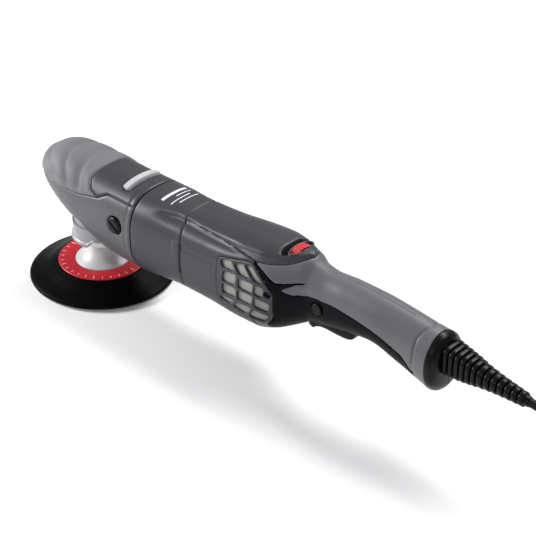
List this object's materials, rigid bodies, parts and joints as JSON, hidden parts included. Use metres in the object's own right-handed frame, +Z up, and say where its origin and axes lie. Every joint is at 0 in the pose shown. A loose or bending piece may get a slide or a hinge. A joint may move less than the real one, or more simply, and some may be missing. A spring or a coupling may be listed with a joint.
{
  "type": "dual action polisher",
  "caption": "Long-body dual action polisher whose pad orbits and is turned by gears, with a speed dial, paddle trigger, round hook pad and mains cord with plug.",
  "frame": {"origin": "centre of the pad's hook face", "axes": "+Z up the pad's spindle, away from the pad; +X along the motor towards the handle and cord"},
  "size_m": [0.7894, 0.183, 0.1337],
  "materials": {
    "grey_cover": "satin",
    "dark_cover": "matte",
    "soft_grip": "matte",
    "bright_trim": "satin",
    "black_plastic": "matte",
    "red_plastic": "satin",
    "cast_alloy": "cast",
    "steel": "machined",
    "lamination": "stacked",
    "copper": "varnished",
    "carbon": "matte",
    "board": "lacquered",
    "filter_mesh": "woven",
    "white_hub": "satin",
    "red_ring": "satin",
    "black_foam": "satin",
    "hook_fabric": "hooked",
    "cord_rubber": "matte",
    "pin_brass": "plated"
  },
  "bodies": {
    "housing": {"head_cover_left": "grey_cover", "head_cover_right": "grey_cover", "head_grip": "soft_grip", "head_spine": "dark_cover", "head_trim_bar": "bright_trim", "side_plugs": "black_plastic", "gear_case": "cast_alloy", "spindle_shroud": "cast_alloy", "ring_gear": "steel", "main_bearings": "steel", "armature_bearings": "steel", "field_core": "lamination", "field_coils": "copper", "air_baffle": "black_plastic", "bearing_bracket": "black_plastic", "brush_holders": "black_plastic", "carbon_brushes": "carbon", "front_motor_housing": "dark_cover", "motor_spine": "dark_cover", "housing_left": "grey_cover", "housing_right": "grey_cover", "handle_inlay": "soft_grip", "vent_frame_left": "dark_cover", "vent_frame_right": "dark_cover", "vent_filters": "filter_mesh", "dial_bezel": "dark_cover", "speed_board": "board", "trigger_switch": "black_plastic", "trigger_pin": "steel", "housing_screws": "steel", "end_cap_left": "dark_cover", "end_cap_right": "dark_cover", "cord_boot": "cord_rubber", "cord_clamp": "cord_rubber", "power_cord": "cord_rubber", "plug_lead": "cord_rubber", "cord_coil": "cord_rubber", "plug_body": "black_plastic", "plug_pins": "pin_brass"},
    "armature": {"bevel_pinion": "steel", "armature_shaft": "steel", "cooling_fan": "black_plastic", "armature_core": "lamination", "armature_windings": "copper", "commutator": "copper"},
    "carrier": {"eccentric_carrier": "steel", "pad_bearings": "steel", "counterweight": "steel", "crown_gear": "steel"},
    "pad": {"pad_spindle": "steel", "planet_gear": "steel", "plate_stud": "steel", "pad_hub": "white_hub", "backing_plate": "black_foam", "pad_ring": "red_ring", "hook_layer": "hook_fabric"},
    "dial": {"speed_dial": "red_plastic"},
    "trigger": {"trigger": "black_plastic"},
    "lock": {"lock_button": "black_plastic"}
  },
  "joints": [
    {"name": "carrier_spin", "type": "hinge", "parent": "housing", "child": "carrier", "pos_m": [0.004, 0, 0.07], "axis": [0, 0, 1], "continuous": true},
    {"name": "armature_spin", "type": "hinge", "parent": "housing", "child": "armature", "pos_m": [0.1, 0, 0.086], "axis": [1, 0, 0], "continuous": true},
    {"name": "pad_spin", "type": "hinge", "parent": "carrier", "child": "pad", "pos_m": [0, 0, 0.05], "axis": [0, 0, 1], "continuous": true},
    {"name": "dial_turn", "type": "hinge", "parent": "housing", "child": "dial", "pos_m": [0.252, 0, 0.1175], "axis": [1, 0, 0], "range_deg": [0, 300]},
    {"name": "trigger_press", "type": "hinge", "parent": "housing", "child": "trigger", "pos_m": [0.268, 0, 0.08], "axis": [0, -1, 0], "range_deg": [0, 5], "stiffness_Nm_per_rad": 3, "springref_deg": -5.73},
    {"name": "lock_press", "type": "slide", "parent": "housing", "child": "lock", "axis": [0, 1, 0], "range_m": [0, 0.0025], "stiffness_N_per_m": 300, "springref_m": -0.001}
  ],
  "couplings": [
    {"joint": "armature_spin", "follows": "carrier_spin", "ratio": 3},
    {"joint": "pad_spin", "follows": "carrier_spin", "ratio": -1.2}
  ]
}
